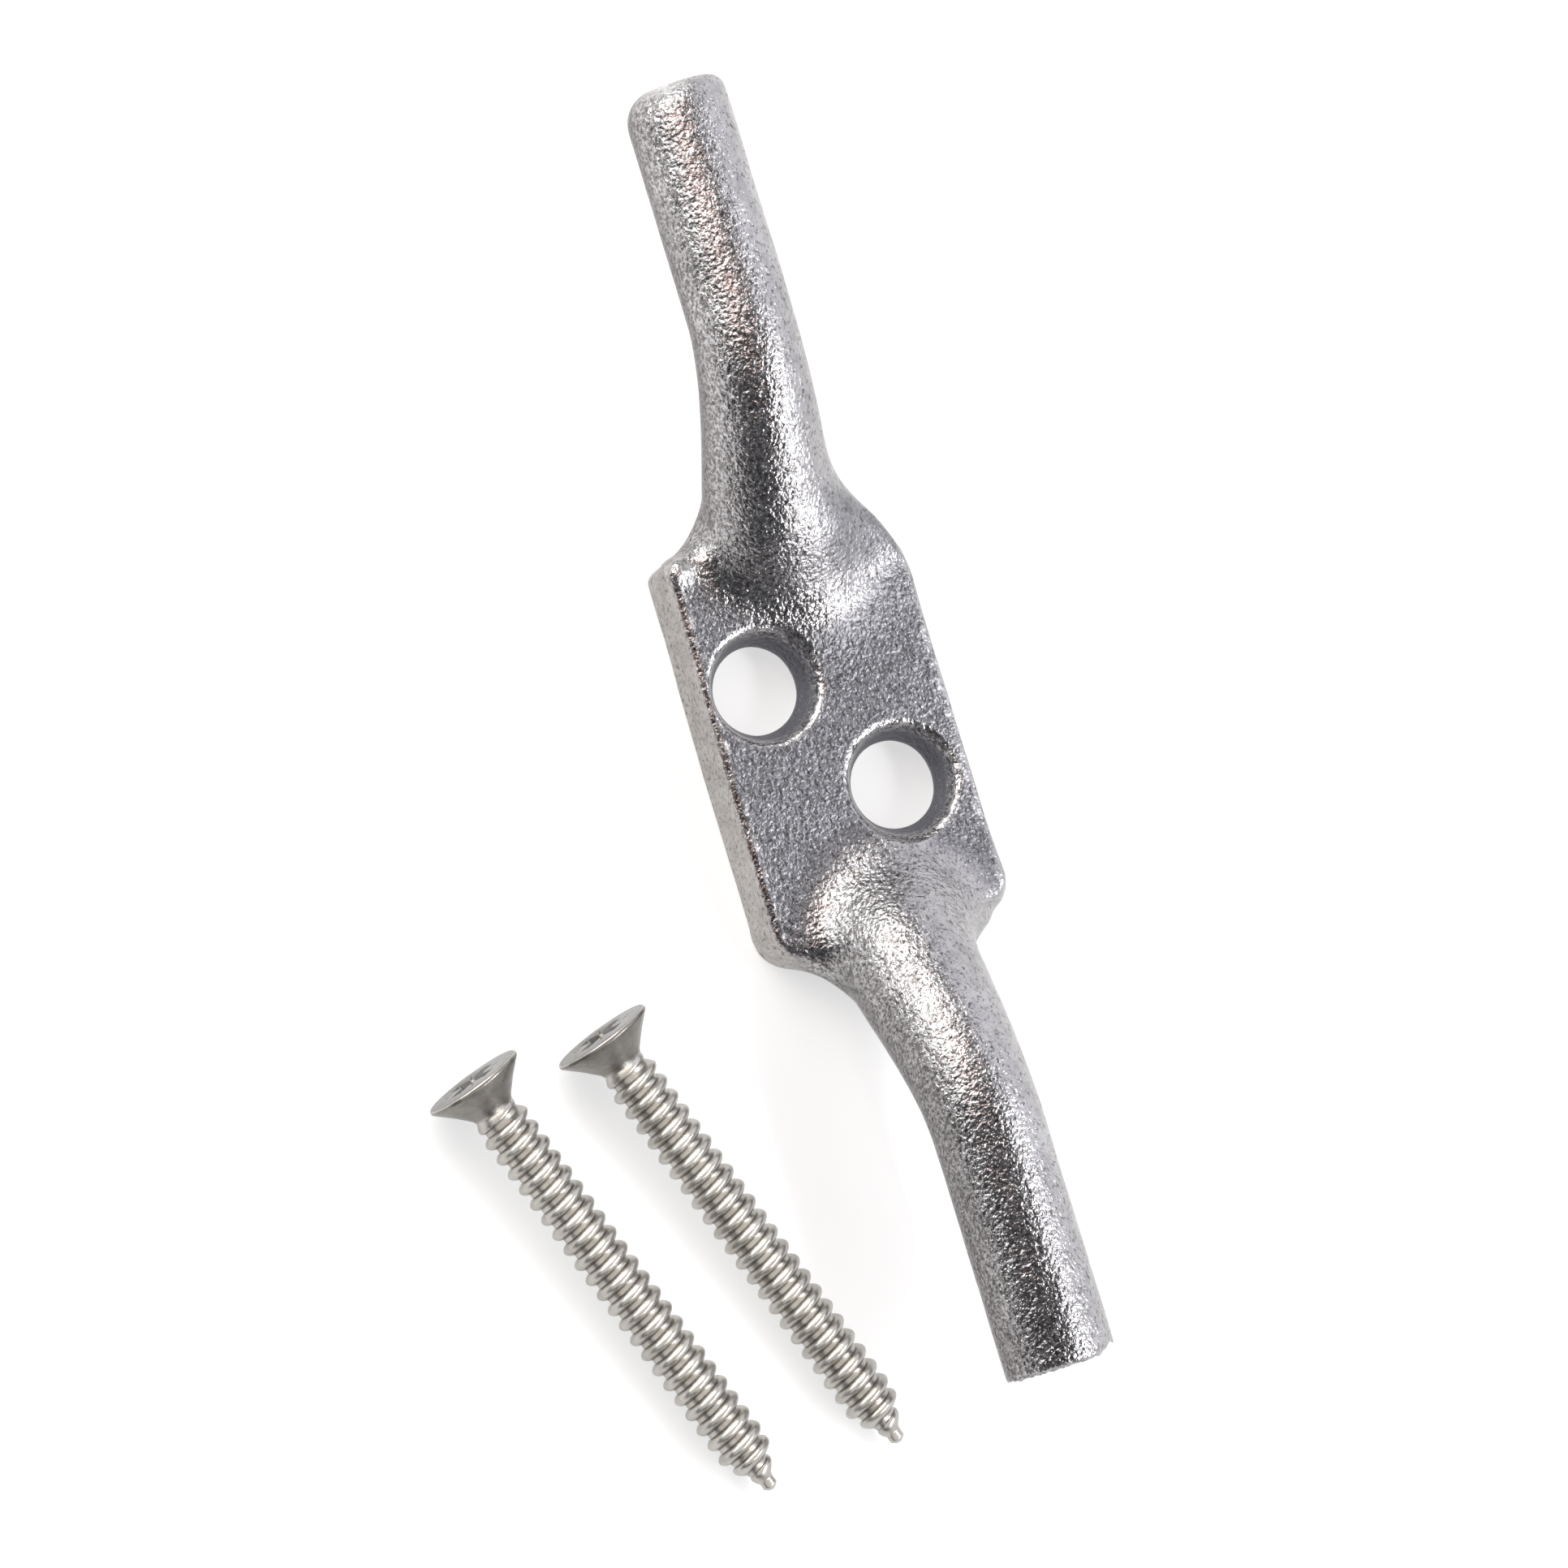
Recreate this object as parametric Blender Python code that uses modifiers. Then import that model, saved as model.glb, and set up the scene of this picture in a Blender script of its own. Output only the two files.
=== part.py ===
"""Two-horned rope cleat in galvanised cast iron, base down, with its two loose countersunk screws beside it.

+X runs along the horns towards the horn with the cut end, +Y across the plate, +Z away from the wall.
The origin is the middle of the flat underside of the plate.
"""

import math

import bmesh
import bpy
import numpy as np
from mathutils import Matrix, Vector

# Casting: overall and plate
DOMED_END = 0.0495
CUT_END = 0.0505
PLATE_HALF_LENGTH = 0.0154
PLATE_HALF_WIDTH = 0.00968
PLATE_THICKNESS = 0.0048
PLATE_DRAFT = 0.04
PLATE_EDGE_RADIUS = 0.0005

# The plate's middle lies this far to +Y of the horns, and its -Y side draws in towards the domed horn
PLATE_SHIFT = 0.00030
PLATE_SKEW = 0.025

# Corner radii in plan, and fillets into the horns low down and at the face.
# Each is given at (-x, -y), (-x, +y), (+x, -y), (+x, +y)
CORNER_RADII = (0.0008, 0.0062, 0.0022, 0.0020)
ROOT_FILLETS = (0.0060, 0.0100, 0.0060, 0.0088)
FACE_FILLETS = (0.0032, 0.0065, 0.0032, 0.0050)
FILLET_CHANGE = 0.0040

# On its +Y side the face rises this much to the -X and +X ends, as a web beside the horn
WEB_START = 0.0106
WEB_HEIGHTS = (0.0015, 0.0005)

# Casting: horns
HORN_AXIS_HEIGHT = 0.0115
HORN_ROOT_HEIGHT = 0.0032
HORN_RADIUS_DOMED = 0.00398
HORN_RADIUS_CUT = 0.00425
HORN_ROOT_RADIUS = 0.0053
HORN_RISE_START = 0.0100
HORN_RISE_END = 0.0320
HORN_INNER_END = 0.0158
HORN_TAPER_START = 0.0122
DOME_LENGTH = 0.0026
CUT_EDGE_LENGTH = 0.0005

# Casting: countersunk screw holes
HOLE_X = 0.00477
HOLE_Y = 0.00418
HOLE_MOUTH_RADIUS = 0.00435
HOLE_THROAT_RADIUS = 0.00330
HOLE_BACK_RADIUS = 0.00410
HOLE_THROAT_HEIGHT = 0.0023
HOLE_SEGMENTS = 40

# Loft
AROUND = 40
RAY_LENGTH = 0.014

# Screws: No. 8, 38 mm long, 1.4 mm pitch
SCREW_LENGTH = 0.0380
HEAD_RADIUS = 0.0039
HEAD_RIM = 0.0003
HEAD_DEPTH = 0.0026
NECK_RADIUS = 0.00165
CORE_RADIUS = 0.00154
CREST_RADIUS = 0.00210
PITCH = 0.0014
POINT_LENGTH = 0.0027
STUB_RADIUS = 0.00058
STUB_LENGTH = 0.0009
THREAD_START = 0.0030
THREAD_END = 0.0370
SEGMENTS = 14
HEAD_SEGMENTS = 32

# Recess in the screw head: a cross, with thin marks between its arms
RECESS_HALF_LENGTH = 0.00215
RECESS_FOOT = 0.0013
RECESS_HALF_WIDTH = 0.00052
RECESS_DEPTH = 0.0018
MARK_HALF_LENGTH = 0.0021
MARK_HALF_WIDTH = 0.00011
MARK_DEPTH = 0.0003

# Where the screws lie: head centre and direction in plan
SCREW_HEADS = {"screw_1": (0.0174, -0.0351), "screw_2": (0.0168, -0.0244)}
SCREW_HEADING = 21.6
SCREW_ROLL = {"screw_1": 23.0, "screw_2": 23.0}


def clear_scene():
    """Takes out everything in the scene."""
    for obj in list(bpy.data.objects):
        bpy.data.objects.remove(obj, do_unlink=True)


def collection(name):
    """Makes a collection in the scene."""
    made = bpy.data.collections.new(name)
    bpy.context.scene.collection.children.link(made)
    return made


def material(name, colour, metallic, roughness):
    """Makes a Principled material."""
    made = bpy.data.materials.new(name)
    made.use_nodes = True
    shader = made.node_tree.nodes["Principled BSDF"]
    shader.inputs["Base Color"].default_value = (*colour, 1.0)
    shader.inputs["Metallic"].default_value = metallic
    shader.inputs["Roughness"].default_value = roughness
    made.diffuse_color = (*colour, 1.0)
    return made


def add_object(name, mesh, into):
    """Adds a mesh to a collection as an object."""
    obj = bpy.data.objects.new(name, mesh)
    into.objects.link(obj)
    return obj


def as_helper(obj):
    """Marks an object as a cutter or guide."""
    obj.hide_render = True
    obj.display_type = "WIRE"
    return obj


def boolean(obj, other, operation):
    """Adds an exact Boolean."""
    modifier = obj.modifiers.new(operation.lower() + "_" + other.name, "BOOLEAN")
    modifier.operation = operation
    modifier.solver = "EXACT"
    modifier.object = other
    return modifier


def lathe(name, profile, segments, into):
    """Turns a profile of (radius, height) pairs, listed from top to bottom, about Z."""
    mesh = bpy.data.meshes.new(name)
    points = [(radius, 0.0, height) for radius, height in profile]
    edges = [(i, i + 1) for i in range(len(points) - 1)]
    mesh.from_pydata(points, edges, [])
    obj = add_object(name, mesh, into)
    turn = obj.modifiers.new("turn", "SCREW")
    turn.axis = "Z"
    turn.angle = math.tau
    turn.steps = segments
    turn.render_steps = segments
    turn.use_merge_vertices = True
    turn.merge_threshold = 0.000001
    turn.use_smooth_shade = True
    return obj


def ease(u):
    """Smooth step from 0 to 1."""
    u = np.clip(u, 0.0, 1.0)
    return u * u * (3.0 - 2.0 * u)


def horn_axis(s):
    """Height and slope factor of the horn's axis at a distance along the casting."""
    span = HORN_RISE_END - HORN_RISE_START
    u = (s - HORN_RISE_START) / span
    rise = HORN_AXIS_HEIGHT - HORN_ROOT_HEIGHT
    height = HORN_ROOT_HEIGHT + rise * ease(u)
    inside = (u > 0.0) & (u < 1.0)
    slope = rise / span * np.where(inside, 6.0 * u * (1.0 - u), 0.0)
    return height, 1.0 / np.sqrt(1.0 + slope**2)


def fillet_across(sizes, west, across):
    """Fillet size between the four given for the corners."""
    at_west = sizes[0] + (sizes[1] - sizes[0]) * across
    at_east = sizes[2] + (sizes[3] - sizes[2]) * across
    return np.where(west, at_west, at_east)


def casting_distance(x, y, z):
    """Distance-like field of the casting: a drafted plate filleted into two rising round horns."""
    s = np.abs(x)
    west = x < 0.0
    south = y < 0.0
    corner = np.where(west & south, CORNER_RADII[0], CORNER_RADII[1])
    corner = np.where(west, corner, np.where(south, CORNER_RADII[2], CORNER_RADII[3]))
    width = PLATE_HALF_WIDTH - PLATE_DRAFT * np.clip(z, 0.0, PLATE_THICKNESS)
    width = width - np.where(south, PLATE_SKEW * np.maximum(-x, 0.0), 0.0)
    gone_x = s - (PLATE_HALF_LENGTH - corner)
    gone_y = np.abs(y - PLATE_SHIFT) - (width - corner)
    plan = np.hypot(np.maximum(gone_x, 0.0), np.maximum(gone_y, 0.0))
    plan = plan + np.minimum(np.maximum(gone_x, gone_y), 0.0) - corner
    across = ease((y + FILLET_CHANGE) / (2.0 * FILLET_CHANGE))
    web = np.where(west, WEB_HEIGHTS[0], WEB_HEIGHTS[1]) * across
    web = web * ease((s - WEB_START) / (PLATE_HALF_LENGTH - WEB_START))
    edge = PLATE_EDGE_RADIUS
    in_plan = plan + edge
    in_height = z - (PLATE_THICKNESS + web - edge)
    plate = np.hypot(np.maximum(in_plan, 0.0), np.maximum(in_height, 0.0))
    plate = plate + np.minimum(np.maximum(in_plan, in_height), 0.0) - edge

    height, lean = horn_axis(s)
    tip_radius = np.where(west, HORN_RADIUS_DOMED, HORN_RADIUS_CUT)
    along = (s - HORN_TAPER_START) / (HORN_RISE_END - HORN_TAPER_START)
    radius = tip_radius + (HORN_ROOT_RADIUS - tip_radius) * (1.0 - ease(along))
    back = np.maximum(HORN_INNER_END - s, 0.0)
    horn = np.sqrt(y**2 + ((z - height) * lean) ** 2 + back**2) - radius

    low = fillet_across(ROOT_FILLETS, west, across)
    high = fillet_across(FACE_FILLETS, west, across)
    near_face = ease((z - 0.6 * PLATE_THICKNESS) / (0.6 * PLATE_THICKNESS))
    fillet = low + (high - low) * near_face
    blend = np.maximum(fillet - np.abs(plate - horn), 0.0) / fillet
    joined = np.minimum(plate, horn) - blend * blend * fillet * 0.25
    return np.maximum(joined, -z)


def stations():
    """Section positions along X with how far each is drawn in at the rounded ends."""
    flat = np.linspace(0.0, PLATE_HALF_LENGTH - 0.0035, 5)[:-1]
    corner = np.linspace(PLATE_HALF_LENGTH - 0.0035, PLATE_HALF_LENGTH + 0.0015, 17)[:-1]
    root = np.linspace(PLATE_HALF_LENGTH + 0.0015, HORN_RISE_END, 14)[:-1]
    inner = np.concatenate([flat, corner, root])

    def side(tip, end_length):
        shank = np.linspace(HORN_RISE_END, tip - end_length, 5)[:-1]
        angle = np.linspace(0.0, math.pi / 2.0, 7)
        end = tip - end_length * (1.0 - np.sin(angle))
        drawn = end_length * (1.0 - np.cos(angle))
        where = np.concatenate([inner, shank, end])
        inset = np.concatenate([np.zeros(len(inner) + len(shank)), drawn])
        return where, inset

    domed, domed_inset = side(DOMED_END, DOME_LENGTH)
    cut, cut_inset = side(CUT_END, CUT_EDGE_LENGTH)
    where = np.concatenate([-domed[::-1], cut[1:]])
    inset = np.concatenate([domed_inset[::-1], cut_inset[1:]])
    return where, inset


def ray_angles():
    """Ray directions around a section, gathered at the corners of the plate and even around a horn."""
    half_height = PLATE_THICKNESS / 2.0
    corner = math.degrees(math.atan2(half_height, PLATE_HALF_WIDTH - PLATE_DRAFT * PLATE_THICKNESS))
    quarter = [0.0, 7.0, corner - 1.7, corner, corner + 1.7, 24.0, 34.0, 48.0, 63.0, 77.0]
    right = np.array(quarter)
    plate = np.concatenate([right, 180.0 - right[:0:-1], 180.0 + right, 360.0 - right[:0:-1]])
    plate = np.insert(plate, 10, 90.0)
    plate = np.insert(plate, 30, 270.0)
    return np.radians(plate), np.linspace(0.0, math.tau, AROUND, endpoint=False)


def casting_mesh():
    """Lofts the casting through its sections."""
    where, inset = stations()
    plate_rays, horn_rays = ray_angles()
    s = np.abs(where)
    blend = ease((s - 0.010) / (PLATE_HALF_LENGTH + 0.006 - 0.010))
    middle = PLATE_THICKNESS / 2.0 * (1.0 - blend) + horn_axis(s)[0] * blend
    rays = plate_rays[None, :] * (1.0 - blend[:, None]) + horn_rays[None, :] * blend[:, None]
    x = np.repeat(where[:, None], AROUND, axis=1)
    z0 = middle[:, None]
    low = np.zeros_like(x)
    high = np.full_like(x, RAY_LENGTH)
    for _ in range(30):
        half = (low + high) / 2.0
        inside = casting_distance(x, half * np.cos(rays), z0 + half * np.sin(rays)) < 0.0
        low = np.where(inside, half, low)
        high = np.where(inside, high, half)
    reach = (low + high) / 2.0 - inset[:, None]
    y = reach * np.cos(rays)
    z = z0 + reach * np.sin(rays)
    z = np.where(np.abs(z) < 0.000002, 0.0, z)

    mesh = bpy.data.meshes.new("cleat_casting")
    shape = bmesh.new()
    rings = []
    for i in range(len(where)):
        rings.append([shape.verts.new((x[i, j], y[i, j], z[i, j])) for j in range(AROUND)])
    for inner, outer in zip(rings, rings[1:]):
        for j in range(AROUND):
            after = (j + 1) % AROUND
            shape.faces.new((inner[j], outer[j], outer[after], inner[after]))
    shape.faces.new(rings[0])
    shape.faces.new(rings[-1][::-1])
    bmesh.ops.triangulate(shape, faces=list(shape.faces))
    bmesh.ops.recalc_face_normals(shape, faces=list(shape.faces))
    shape.to_mesh(mesh)
    shape.free()
    return mesh


def shade_smooth(mesh, degrees):
    """Shades a mesh smooth, with hard edges where it turns sharply."""
    mesh.shade_smooth()
    mesh.set_sharp_from_angle(angle=math.radians(degrees))


def make_casting(parts, cutters, finish):
    """The cleat: plate and horns in one casting, with two countersunk holes."""
    mesh = casting_mesh()
    shade_smooth(mesh, 40.0)
    mesh.materials.append(finish)
    casting = add_object("cleat_casting", mesh, parts)
    slope = (HOLE_MOUTH_RADIUS - HOLE_THROAT_RADIUS) / (PLATE_THICKNESS - HOLE_THROAT_HEIGHT)
    over = 0.0010
    under = (HOLE_BACK_RADIUS - HOLE_THROAT_RADIUS) / HOLE_THROAT_HEIGHT
    profile = (
        (0.0, PLATE_THICKNESS + over),
        (HOLE_MOUTH_RADIUS + slope * over, PLATE_THICKNESS + over),
        (HOLE_THROAT_RADIUS, HOLE_THROAT_HEIGHT),
        (HOLE_BACK_RADIUS + under * over, -over),
        (0.0, -over),
    )
    for name, side in (("hole_cutter_1", -1.0), ("hole_cutter_2", 1.0)):
        cutter = as_helper(lathe(name, profile, HOLE_SEGMENTS, cutters))
        cutter.location = (side * HOLE_X, side * HOLE_Y, 0.0)
        boolean(casting, cutter, "DIFFERENCE")
    return casting


def core_radius_at(depth):
    """Radius of the screw's core below the top of its head."""
    to_point = SCREW_LENGTH - STUB_LENGTH - depth
    taper = min(max(to_point / POINT_LENGTH, 0.0), 1.0)
    return STUB_RADIUS + (CORE_RADIUS - STUB_RADIUS) * taper


def thread_ridge(cutters):
    """The helical ridge, swept as a bevelled curve along the core."""
    section = bpy.data.curves.new("thread_section", "CURVE")
    section.dimensions = "2D"
    outline = section.splines.new("POLY")
    depth = CREST_RADIUS - CORE_RADIUS
    corners = ((-0.35, -0.78), (0.72, -0.38), (1.0, -0.15), (1.0, 0.15), (0.72, 0.38), (-0.35, 0.78))
    outline.points.add(len(corners) - 1)
    for point, (out, up) in zip(outline.points, corners):
        point.co = (-out * depth, up * depth * 1.15, 0.0, 1.0)
    outline.use_cyclic_u = True
    guide = as_helper(add_object("thread_section", section, cutters))

    path = bpy.data.curves.new("thread_path", "CURVE")
    path.dimensions = "3D"
    path.twist_mode = "Z_UP"
    path.bevel_mode = "OBJECT"
    path.bevel_object = guide
    path.use_fill_caps = True
    spline = path.splines.new("POLY")
    count = int(round((THREAD_END - THREAD_START) / PITCH * SEGMENTS)) + 1
    spline.points.add(count - 1)
    for i, point in enumerate(spline.points):
        depth_down = THREAD_START + PITCH * i / SEGMENTS
        angle = -math.tau * i / SEGMENTS
        fade = min(1.0, 0.3 + i / SEGMENTS * 0.9)
        left = (THREAD_END - depth_down) / POINT_LENGTH
        fade = min(fade, max(0.35, min(1.0, 0.35 + left * 0.80)))
        radius = core_radius_at(depth_down)
        point.co = (radius * math.cos(angle), radius * math.sin(angle), -depth_down, 1.0)
        point.radius = fade
    swept = as_helper(add_object("thread_path", path, cutters))
    bpy.context.view_layer.update()
    graph = bpy.context.evaluated_depsgraph_get()
    mesh = bpy.data.meshes.new_from_object(swept.evaluated_get(graph))
    shape = bmesh.new()
    shape.from_mesh(mesh)
    bmesh.ops.remove_doubles(shape, verts=list(shape.verts), dist=0.0000005)
    bmesh.ops.recalc_face_normals(shape, faces=list(shape.faces))
    shape.to_mesh(mesh)
    shape.free()
    return as_helper(add_object("thread_ridge", mesh, cutters))


def tapered_bar(name, half_length, foot, half_width, depth, turn, cutters):
    """A bar that narrows as it goes down, to cut one slot of the recess."""
    shape = bmesh.new()
    over = 0.0003
    widen = (half_length - foot) / depth * over
    top = [(-1, -1), (1, -1), (1, 1), (-1, 1)]
    upper = [
        shape.verts.new((a * (half_length + widen), b * half_width, over)) for a, b in top
    ]
    lower = [shape.verts.new((a * foot, b * half_width * 0.85, -depth)) for a, b in top]
    shape.faces.new(upper)
    shape.faces.new(lower[::-1])
    for i in range(4):
        after = (i + 1) % 4
        shape.faces.new((upper[i], lower[i], lower[after], upper[after]))
    bmesh.ops.recalc_face_normals(shape, faces=list(shape.faces))
    mesh = bpy.data.meshes.new(name)
    shape.to_mesh(mesh)
    shape.free()
    bar = as_helper(add_object(name, mesh, cutters))
    bar.rotation_euler = (0.0, 0.0, math.radians(turn))
    return bar


def screw_mesh(cutters):
    """One screw standing on its point, with the top of its head at the origin."""
    cone = HEAD_RADIUS - NECK_RADIUS
    profile = [
        (0.0, 0.0),
        (HEAD_RADIUS - 0.00015, 0.0),
        (HEAD_RADIUS, -0.00012),
        (HEAD_RADIUS, -HEAD_RIM),
        (NECK_RADIUS + cone * 0.12, -HEAD_DEPTH + 0.00025),
        (NECK_RADIUS, -HEAD_DEPTH - 0.0002),
        (CORE_RADIUS, -THREAD_START - 0.0012),
        (CORE_RADIUS, -(SCREW_LENGTH - STUB_LENGTH - POINT_LENGTH)),
        (STUB_RADIUS, -(SCREW_LENGTH - STUB_LENGTH)),
        (STUB_RADIUS * 0.8, -SCREW_LENGTH + 0.0001),
        (STUB_RADIUS * 0.5, -SCREW_LENGTH),
        (0.0, -SCREW_LENGTH),
    ]
    stock = as_helper(lathe("screw_stock", profile, HEAD_SEGMENTS, cutters))
    boolean(stock, thread_ridge(cutters), "UNION")
    for name, turn in (("recess_bar_1", 0.0), ("recess_bar_2", 90.0)):
        bar = tapered_bar(
            name, RECESS_HALF_LENGTH, RECESS_FOOT, RECESS_HALF_WIDTH, RECESS_DEPTH, turn, cutters
        )
        boolean(stock, bar, "DIFFERENCE")
    for name, turn in (("recess_mark_1", 45.0), ("recess_mark_2", 135.0)):
        bar = tapered_bar(
            name, MARK_HALF_LENGTH, MARK_HALF_LENGTH * 0.9, MARK_HALF_WIDTH, MARK_DEPTH, turn, cutters
        )
        boolean(stock, bar, "DIFFERENCE")
    bpy.context.view_layer.update()
    graph = bpy.context.evaluated_depsgraph_get()
    return bpy.data.meshes.new_from_object(stock.evaluated_get(graph))


def lying_rotation(points, roll):
    """The rotation that lays a screw on its side, with head rim and thread both touching the ground."""
    spin = Matrix.Rotation(math.radians(roll), 4, "Z")
    head = points[:, 2] > -HEAD_DEPTH
    low = math.radians(80.0)
    high = math.radians(95.0)
    for _ in range(40):
        tip = (low + high) / 2.0
        turn = np.array(Matrix.Rotation(-tip, 4, "Y") @ spin)[:3, :3]
        heights = points @ turn.T[:, 2]
        if heights[head].min() < heights[~head].min():
            high = tip
        else:
            low = tip
    return Matrix.Rotation(-(low + high) / 2.0, 4, "Y") @ spin


def make_screws(parts, cutters, finish):
    """Two equal screws lying side by side on the ground beside the cleat."""
    mesh = screw_mesh(cutters)
    shade_smooth(mesh, 35.0)
    mesh.materials.clear()
    mesh.materials.append(finish)
    points = np.array([tuple(vertex.co) for vertex in mesh.vertices])
    for name, (x, y) in SCREW_HEADS.items():
        own = mesh.copy()
        own.name = name
        laid = lying_rotation(points, SCREW_ROLL[name])
        heading = Matrix.Rotation(math.radians(SCREW_HEADING), 4, "Z")
        turn = heading @ laid
        lowest = (points @ np.array(turn)[:3, :3].T)[:, 2].min()
        screw = add_object(name, own, parts)
        screw.matrix_world = Matrix.Translation((x, y, -lowest)) @ turn


def main():
    clear_scene()
    parts = collection("cleat_hook_with_screws")
    cutters = collection("cutters")
    zinc = material("galvanised_cast_iron", (0.46, 0.46, 0.48), 0.9, 0.42)
    steel = material("stainless_steel", (0.62, 0.60, 0.56), 1.0, 0.28)
    make_casting(parts, cutters, zinc)
    make_screws(parts, cutters, steel)
    bpy.context.view_layer.update()


main()
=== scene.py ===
import math

import bmesh
import bpy
import numpy as np
from mathutils import Matrix, Vector, noise

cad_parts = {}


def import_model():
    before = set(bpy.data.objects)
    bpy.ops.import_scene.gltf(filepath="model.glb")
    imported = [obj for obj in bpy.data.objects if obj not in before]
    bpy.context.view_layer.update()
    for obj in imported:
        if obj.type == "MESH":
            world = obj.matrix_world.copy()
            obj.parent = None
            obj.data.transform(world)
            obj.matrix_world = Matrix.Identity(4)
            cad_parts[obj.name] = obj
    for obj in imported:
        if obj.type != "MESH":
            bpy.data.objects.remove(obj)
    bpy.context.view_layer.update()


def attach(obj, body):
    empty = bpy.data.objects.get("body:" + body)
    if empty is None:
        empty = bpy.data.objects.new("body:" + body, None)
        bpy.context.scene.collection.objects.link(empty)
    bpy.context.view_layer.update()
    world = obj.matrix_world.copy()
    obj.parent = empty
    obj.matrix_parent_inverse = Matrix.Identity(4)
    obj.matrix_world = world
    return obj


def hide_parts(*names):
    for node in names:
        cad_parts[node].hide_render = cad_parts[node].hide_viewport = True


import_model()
MM = 0.001

# ---------------------------------------------------------------- sizes of the casting, in millimetres
# +X runs towards the horn with the cut end, +Y across the plate, +Z away from the wall
DOMED_END = 49.5
CUT_END = 50.5
HALF_LENGTH = 15.4
HALF_WIDTH = 9.68
THICKNESS = 4.8
DRAFT = 0.04
EDGE_RADIUS = 0.5

# The plate's middle lies this far to +Y of the horns, and its -Y side draws in towards the domed horn
SHIFT = 0.30
SKEW = 0.025

# Corner radii in plan, then fillets into the horns low down and at the face.
# Each is given at (-x, -y), (-x, +y), (+x, -y), (+x, +y)
CORNERS = (0.8, 6.2, 2.2, 2.0)
FILLETS = (6.0, 10.0, 6.0, 8.8)
FACE_FILLETS = (3.2, 6.5, 3.2, 5.0)
FILLET_CHANGE = 4.0

# On its +Y side the face rises this much to the -X and +X ends, as a web beside the horn
WEB_START = 10.6
WEBS = (1.5, 0.5)

# Horns: height of their axis, radii, and where they rise and taper along X
AXIS_HEIGHT = 11.5
ROOT_HEIGHT = 3.2
DOMED_RADIUS = 3.98
CUT_RADIUS = 4.25
ROOT_RADIUS = 5.3
RISE_START = 10.0
RISE_END = 32.0
INNER_END = 15.8
TAPER_START = 12.2

# Rounding of the ends: the domed one has a longer curve on its -Y side than on its +Y side
DOME_SOUTH = 2.6
DOME_NORTH = 1.3
CUT_EDGE = 0.5

# Countersunk holes: place of the +X one, radii at the mouth, the throat and the back
HOLE_PLACE = (4.77, 4.18)
HOLE_RADII = (4.35, 3.30, 4.10)
THROAT_HEIGHT = 2.3
MOUTH_ROUND = 0.25

# Fineness of the casting's mesh
AROUND = 160
LONGEST_RAY = 14.0
HALVINGS = 22
VOXEL = 0.20

# Heights of the casting's relief
BROAD_LUMPS = 0.045
FINE_LUMPS = 0.006
LIP_HEIGHT = 0.11
KNOB_HEIGHT = 0.55
NOTCH_DEPTH = 0.60
RIM_HEIGHT = 0.13
CHIP_DEPTH = 1.1

# The cut face: how far it is set back, and the heights of its broad and fine roughness
CUT_FACE_RELIEF = (0.22, 0.26, 0.14)

# The torn parts of each hole's rim, raised and carrying painted highlights, face these two ways from the
# hole's middle
TORN_SIDES = ((-0.95, -0.30), (0.60, 0.80))


# ---------------------------------------------------------------- helpers
def add(name, mesh):
    obj = bpy.data.objects.new(name, mesh)
    bpy.context.scene.collection.objects.link(obj)
    return obj


def evaluated(obj):
    """The object's mesh with its modifiers applied. The object is removed."""
    bpy.context.view_layer.update()
    graph = bpy.context.evaluated_depsgraph_get()
    mesh = bpy.data.meshes.new_from_object(obj.evaluated_get(graph))
    bpy.data.objects.remove(obj, do_unlink=True)
    return mesh


def cut_away(obj, cutter):
    cut = obj.modifiers.new("cut", "BOOLEAN")
    cut.operation = "DIFFERENCE"
    cut.solver = "EXACT"
    cut.object = cutter


def finished(name, shape):
    """The bmesh as a mesh with its faces turned outwards."""
    bmesh.ops.recalc_face_normals(shape, faces=list(shape.faces))
    mesh = bpy.data.meshes.new(name)
    shape.to_mesh(mesh)
    shape.free()
    return mesh


def ring_solid(name, profile, segments):
    """A closed turned solid from (radius, height) pairs with no point on the axis."""
    shape = bmesh.new()
    turns = [math.tau * i / segments for i in range(segments)]
    loops = []
    for r, z in profile:
        loops.append([shape.verts.new((r * math.cos(turn), r * math.sin(turn), z)) for turn in turns])
    for a, b in zip(loops, loops[1:]):
        for i in range(segments):
            k = (i + 1) % segments
            shape.faces.new((a[i], a[k], b[k], b[i]))
    shape.faces.new(loops[0])
    shape.faces.new(loops[-1][::-1])
    return finished(name, shape)


def points_of(mesh):
    co = np.empty(len(mesh.vertices) * 3)
    mesh.vertices.foreach_get("co", co)
    return co.reshape(-1, 3)


def normals_of(mesh):
    no = np.empty(len(mesh.vertices) * 3)
    mesh.vertices.foreach_get("normal", no)
    return no.reshape(-1, 3)


def move_points(mesh, points):
    mesh.vertices.foreach_set("co", np.ascontiguousarray(points).ravel())
    mesh.update()


def put(mesh, name, values):
    """Keeps a number per point on the mesh, for its material to read."""
    layer = mesh.attributes.new(name, "FLOAT", "POINT")
    layer.data.foreach_set("value", np.ascontiguousarray(values, dtype=np.float32))


def ease(u):
    """A smooth step from 0 at u = 0 to 1 at u = 1."""
    u = np.clip(u, 0.0, 1.0)
    return u * u * (3.0 - 2.0 * u)


def bell(distance, width):
    return np.exp(-((distance / width) ** 2))


def fbm(points, size, seed):
    """Smooth noise about 0 at points in mm, with features of the given size."""
    shift = Vector((seed * 17.3, seed * 5.1, seed * 9.7))
    out = np.empty(len(points))
    for i, p in enumerate(points):
        q = Vector(p) / size + shift
        out[i] = noise.noise(q) + 0.5 * noise.noise(q * 2.1)
    return out


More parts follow.
